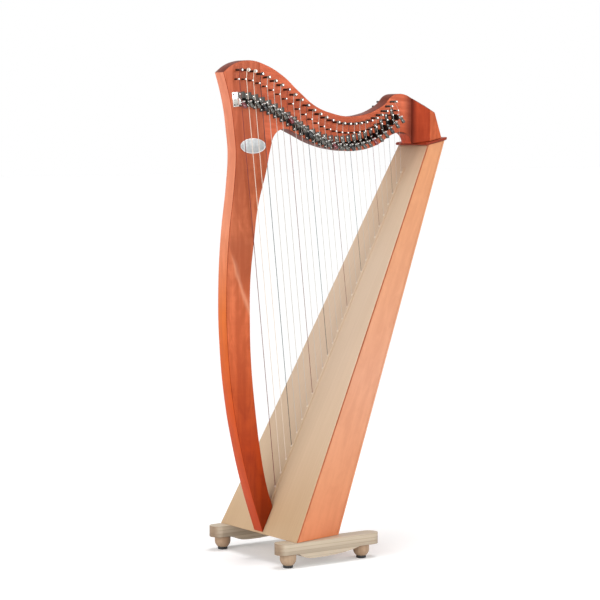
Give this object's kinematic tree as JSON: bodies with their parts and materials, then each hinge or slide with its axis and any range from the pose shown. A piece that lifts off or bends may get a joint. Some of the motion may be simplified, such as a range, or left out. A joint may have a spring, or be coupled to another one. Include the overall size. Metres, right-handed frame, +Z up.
{
  "type": "lever harp",
  "caption": "Floor-standing lever harp with a curved column and neck, a tapered soundbox, a lever at each string and a base of two rails on ball feet.",
  "frame": {"origin": "on the floor, at the centre of the harp's bounding box", "axes": "+Z up; +X from the column towards the soundbox and the player; the strings are on the -Y side of the neck"},
  "size_m": [0.5979, 0.302, 1.0991],
  "materials": {
    "stained_wood": "stained red-orange, satin lacquer",
    "box_wood": "orange stain, satin lacquer",
    "spruce": "pale straight grain, satin",
    "beech": "pale beech, oiled",
    "plate_wood": "dark red stain, satin lacquer",
    "nickel": "nickel plate",
    "rubber": "black, matte",
    "lever_red": "red",
    "lever_black": "black",
    "lever_grey": "grey, half clear",
    "string_natural": "clear nylon, with red and black strings among them"
  },
  "bodies": {
    "harp": {"rubber_pad_front_near": "rubber", "rubber_pad_front_far": "rubber", "rubber_pad_back_near": "rubber", "rubber_pad_back_far": "rubber", "ball_foot_front_near": "beech", "ball_foot_front_far": "beech", "ball_foot_back_near": "beech", "ball_foot_back_far": "beech", "base_rail_near": "beech", "base_rail_far": "beech", "base_screw_front_near": "nickel", "base_screw_front_far": "nickel", "base_screw_back_near": "nickel", "base_screw_back_far": "nickel", "soundboard": "spruce", "string_rib": "beech", "soundbox_side_near": "box_wood", "soundbox_side_far": "box_wood", "soundbox_back": "box_wood", "top_block": "beech", "bottom_block": "beech", "soundbox_brace": "spruce", "shoulder_plate": "plate_wood", "shoulder_cheek_near": "stained_wood", "shoulder_cheek_far": "stained_wood", "column": "stained_wood", "neck": "stained_wood", "badge_plate": "nickel", "strings": "string_natural"},
    "lever_01": {"lever_01": "lever_red"},
    "lever_02": {"lever_02": "lever_grey"},
    "lever_03": {"lever_03": "lever_grey"},
    "lever_04": {"lever_04": "lever_black"},
    "lever_05": {"lever_05": "lever_grey"},
    "lever_06": {"lever_06": "lever_grey"},
    "lever_07": {"lever_07": "lever_grey"},
    "lever_08": {"lever_08": "lever_red"},
    "lever_09": {"lever_09": "lever_grey"},
    "lever_10": {"lever_10": "lever_grey"},
    "lever_11": {"lever_11": "lever_black"},
    "lever_12": {"lever_12": "lever_grey"},
    "lever_13": {"lever_13": "lever_grey"},
    "lever_14": {"lever_14": "lever_grey"},
    "lever_15": {"lever_15": "lever_red"},
    "lever_16": {"lever_16": "lever_grey"},
    "lever_17": {"lever_17": "lever_grey"},
    "lever_18": {"lever_18": "lever_black"},
    "lever_19": {"lever_19": "lever_grey"},
    "lever_20": {"lever_20": "lever_grey"},
    "lever_21": {"lever_21": "lever_grey"},
    "lever_22": {"lever_22": "lever_red"},
    "lever_23": {"lever_23": "lever_grey"},
    "lever_24": {"lever_24": "lever_grey"},
    "lever_25": {"lever_25": "lever_black"},
    "lever_26": {"lever_26": "lever_grey"},
    "lever_27": {"lever_27": "lever_grey"},
    "tuning_pin_01": {"tuning_pin_01": "nickel"},
    "tuning_pin_08": {"tuning_pin_08": "nickel"},
    "tuning_pin_15": {"tuning_pin_15": "nickel"},
    "tuning_pin_22": {"tuning_pin_22": "nickel"}
  },
  "joints": [
    {"name": "lever_01_flip", "type": "hinge", "parent": "harp", "child": "lever_01", "pos_m": [-0.26028, -0.0347, 1.00862], "axis": [-0.9922, 0, -0.1248], "range_deg": [0, 100]},
    {"name": "lever_02_flip", "type": "hinge", "parent": "harp", "child": "lever_02", "pos_m": [-0.24232, -0.0347, 1.00989], "axis": [-0.9921, 0, -0.1254], "range_deg": [0, 100]},
    {"name": "lever_03_flip", "type": "hinge", "parent": "harp", "child": "lever_03", "pos_m": [-0.22446, -0.0347, 1.00862], "axis": [-0.992, 0, -0.1263], "range_deg": [0, 100]},
    {"name": "lever_04_flip", "type": "hinge", "parent": "harp", "child": "lever_04", "pos_m": [-0.2067, -0.0347, 1.00435], "axis": [-0.9918, 0, -0.1277], "range_deg": [0, 100]},
    {"name": "lever_05_flip", "type": "hinge", "parent": "harp", "child": "lever_05", "pos_m": [-0.18904, -0.0347, 0.9987], "axis": [-0.9916, 0, -0.1294], "range_deg": [0, 100]},
    {"name": "lever_06_flip", "type": "hinge", "parent": "harp", "child": "lever_06", "pos_m": [-0.1715, -0.0347, 0.99233], "axis": [-0.9913, 0, -0.1314], "range_deg": [0, 100]},
    {"name": "lever_07_flip", "type": "hinge", "parent": "harp", "child": "lever_07", "pos_m": [-0.15406, -0.0347, 0.98473], "axis": [-0.991, 0, -0.1338], "range_deg": [0, 100]},
    {"name": "lever_08_flip", "type": "hinge", "parent": "harp", "child": "lever_08", "pos_m": [-0.13673, -0.0347, 0.97625], "axis": [-0.9906, 0, -0.1366], "range_deg": [0, 100]},
    {"name": "lever_09_flip", "type": "hinge", "parent": "harp", "child": "lever_09", "pos_m": [-0.1195, -0.0347, 0.96666], "axis": [-0.9901, 0, -0.14], "range_deg": [0, 100]},
    {"name": "lever_10_flip", "type": "hinge", "parent": "harp", "child": "lever_10", "pos_m": [-0.10238, -0.0347, 0.95665], "axis": [-0.9896, 0, -0.1439], "range_deg": [0, 100]},
    {"name": "lever_11_flip", "type": "hinge", "parent": "harp", "child": "lever_11", "pos_m": [-0.08536, -0.0347, 0.9461], "axis": [-0.9889, 0, -0.1484], "range_deg": [0, 100]},
    {"name": "lever_12_flip", "type": "hinge", "parent": "harp", "child": "lever_12", "pos_m": [-0.06846, -0.0347, 0.93692], "axis": [-0.9882, 0, -0.1532], "range_deg": [0, 100]},
    {"name": "lever_13_flip", "type": "hinge", "parent": "harp", "child": "lever_13", "pos_m": [-0.05169, -0.0347, 0.92958], "axis": [-0.9874, 0, -0.1581], "range_deg": [0, 100]},
    {"name": "lever_14_flip", "type": "hinge", "parent": "harp", "child": "lever_14", "pos_m": [-0.03505, -0.0347, 0.92332], "axis": [-0.9866, 0, -0.1633], "range_deg": [0, 100]},
    {"name": "lever_15_flip", "type": "hinge", "parent": "harp", "child": "lever_15", "pos_m": [-0.01852, -0.0347, 0.9186], "axis": [-0.9857, 0, -0.1687], "range_deg": [0, 100]},
    {"name": "lever_16_flip", "type": "hinge", "parent": "harp", "child": "lever_16", "pos_m": [-0.00213, -0.0347, 0.9157], "axis": [-0.9847, 0, -0.1741], "range_deg": [0, 100]},
    {"name": "lever_17_flip", "type": "hinge", "parent": "harp", "child": "lever_17", "pos_m": [0.01413, -0.0347, 0.91443], "axis": [-0.9838, 0, -0.1795], "range_deg": [0, 100]},
    {"name": "lever_18_flip", "type": "hinge", "parent": "harp", "child": "lever_18", "pos_m": [0.03026, -0.0347, 0.91453], "axis": [-0.9827, 0, -0.1851], "range_deg": [0, 100]},
    {"name": "lever_19_flip", "type": "hinge", "parent": "harp", "child": "lever_19", "pos_m": [0.04625, -0.0347, 0.91609], "axis": [-0.9817, 0, -0.1906], "range_deg": [0, 100]},
    {"name": "lever_20_flip", "type": "hinge", "parent": "harp", "child": "lever_20", "pos_m": [0.06211, -0.0347, 0.91882], "axis": [-0.9806, 0, -0.1962], "range_deg": [0, 100]},
    {"name": "lever_21_flip", "type": "hinge", "parent": "harp", "child": "lever_21", "pos_m": [0.07785, -0.0347, 0.92229], "axis": [-0.9794, 0, -0.2021], "range_deg": [0, 100]},
    {"name": "lever_22_flip", "type": "hinge", "parent": "harp", "child": "lever_22", "pos_m": [0.09345, -0.0347, 0.92734], "axis": [-0.9782, 0, -0.2077], "range_deg": [0, 100]},
    {"name": "lever_23_flip", "type": "hinge", "parent": "harp", "child": "lever_23", "pos_m": [0.1089, -0.0347, 0.93413], "axis": [-0.9772, 0, -0.2125], "range_deg": [0, 100]},
    {"name": "lever_24_flip", "type": "hinge", "parent": "harp", "child": "lever_24", "pos_m": [0.12419, -0.0347, 0.94244], "axis": [-0.9763, 0, -0.2163], "range_deg": [0, 100]},
    {"name": "lever_25_flip", "type": "hinge", "parent": "harp", "child": "lever_25", "pos_m": [0.13933, -0.0347, 0.95252], "axis": [-0.9758, 0, -0.2185], "range_deg": [0, 100]},
    {"name": "lever_26_flip", "type": "hinge", "parent": "harp", "child": "lever_26", "pos_m": [0.1543, -0.0347, 0.96467], "axis": [-0.9759, 0, -0.218], "range_deg": [0, 100]},
    {"name": "lever_27_flip", "type": "hinge", "parent": "harp", "child": "lever_27", "pos_m": [0.16915, -0.0347, 0.97654], "axis": [-0.976, 0, -0.2177], "range_deg": [0, 100]},
    {"name": "tuning_pin_01_turn", "type": "hinge", "parent": "harp", "child": "tuning_pin_01", "pos_m": [-0.2655, -0.0175, 1.07807], "axis": [0, 1, 0], "continuous": true},
    {"name": "tuning_pin_08_turn", "type": "hinge", "parent": "harp", "child": "tuning_pin_08", "pos_m": [-0.14129, -0.0175, 1.03649], "axis": [0, 1, 0], "continuous": true},
    {"name": "tuning_pin_15_turn", "type": "hinge", "parent": "harp", "child": "tuning_pin_15", "pos_m": [-0.02344, -0.0175, 0.96959], "axis": [0, 1, 0], "continuous": true},
    {"name": "tuning_pin_22_turn", "type": "hinge", "parent": "harp", "child": "tuning_pin_22", "pos_m": [0.08516, -0.0175, 0.96908], "axis": [0, 1, 0], "continuous": true}
  ]
}
